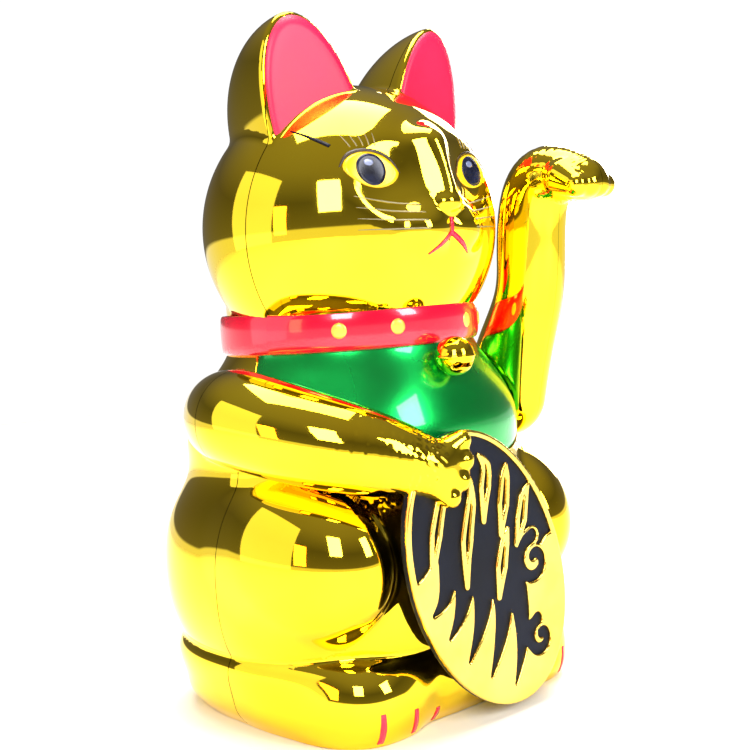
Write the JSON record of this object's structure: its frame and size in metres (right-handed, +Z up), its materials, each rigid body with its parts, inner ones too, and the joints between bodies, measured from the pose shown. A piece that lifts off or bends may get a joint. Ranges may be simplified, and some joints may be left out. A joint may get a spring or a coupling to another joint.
{
  "type": "beckoning cat figurine",
  "caption": "Hollow seated cat with raised arm that swings on a shoulder axle, driven by a hanging magnet over a coil in the base; holds an oval plate.",
  "frame": {"origin": "on the floor under the middle of the base, at the resting face", "axes": "+Z up, -Y the way the cat faces, +X the cat's own left, where the waving arm is"},
  "size_m": [0.1236, 0.1229, 0.1992],
  "materials": {
    "gold_plastic": "vacuum metallised gold plastic",
    "gold_bell": "gold plated",
    "red_gloss": "metallic red lacquer",
    "green_gloss": "metallic green lacquer",
    "ear_red": "flat red print",
    "eye_print": "printed and clear coated",
    "black_gold": "gold relief with black infill",
    "base_plastic": "moulded",
    "inner_plastic": "moulded",
    "steel": "bright",
    "magnet": "nickel plated",
    "board": "phenolic board",
    "copper": "enamelled winding wire",
    "component_black": "moulded",
    "component_blue": "sleeved",
    "component_tan": "lacquered",
    "cell": "sleeved dry cell",
    "wire_red": "insulation",
    "wire_black": "insulation"
  },
  "bodies": {
    "body": {"front_shell": "gold_plastic", "back_shell": "gold_plastic", "base_plate": "base_plastic", "base_screws": "steel", "collar_front": "red_gloss", "collar_back": "red_gloss", "collar_studs": "gold_bell", "bell": "gold_bell", "bib": "green_gloss", "koban": "black_gold", "ear_lining_left": "ear_red", "ear_lining_right": "ear_red", "eye_left": "eye_print", "eye_right": "eye_print", "shoulder_bush": "inner_plastic", "arm_bracket": "inner_plastic", "bracket_screws": "steel", "battery_1": "cell", "battery_2": "cell", "contact_springs": "steel", "contact_tabs": "steel", "contact_bridge": "steel", "circuit_board": "board", "board_screws": "steel", "coil_bobbin": "inner_plastic", "coil_winding": "copper", "transistor": "component_black", "capacitor": "component_blue", "resistor": "component_tan", "switch_body": "component_black", "lead_red": "wire_red", "lead_black": "wire_black", "lead_switch": "wire_red"},
    "waving_arm": {"arm_outer_half": "gold_plastic", "arm_inner_half": "gold_plastic", "arm_axle": "steel", "pendulum_lever": "inner_plastic", "counterweight": "steel", "magnet": "magnet", "axle_clips": "steel"},
    "battery_door": {"battery_door": "base_plastic"},
    "switch_slider": {"switch_slider": "component_black"}
  },
  "joints": [
    {"name": "arm_swing", "type": "hinge", "parent": "body", "child": "waving_arm", "pos_m": [0.0485, -0.017, 0.088], "axis": [1, 0, 0], "range_deg": [-3, 26]},
    {"name": "battery_door_slide", "type": "slide", "parent": "body", "child": "battery_door", "axis": [1, 0, 0], "range_m": [0, 0.012]},
    {"name": "switch_slide", "type": "slide", "parent": "body", "child": "switch_slider", "axis": [1, 0, 0], "range_m": [0, 0.003]}
  ]
}
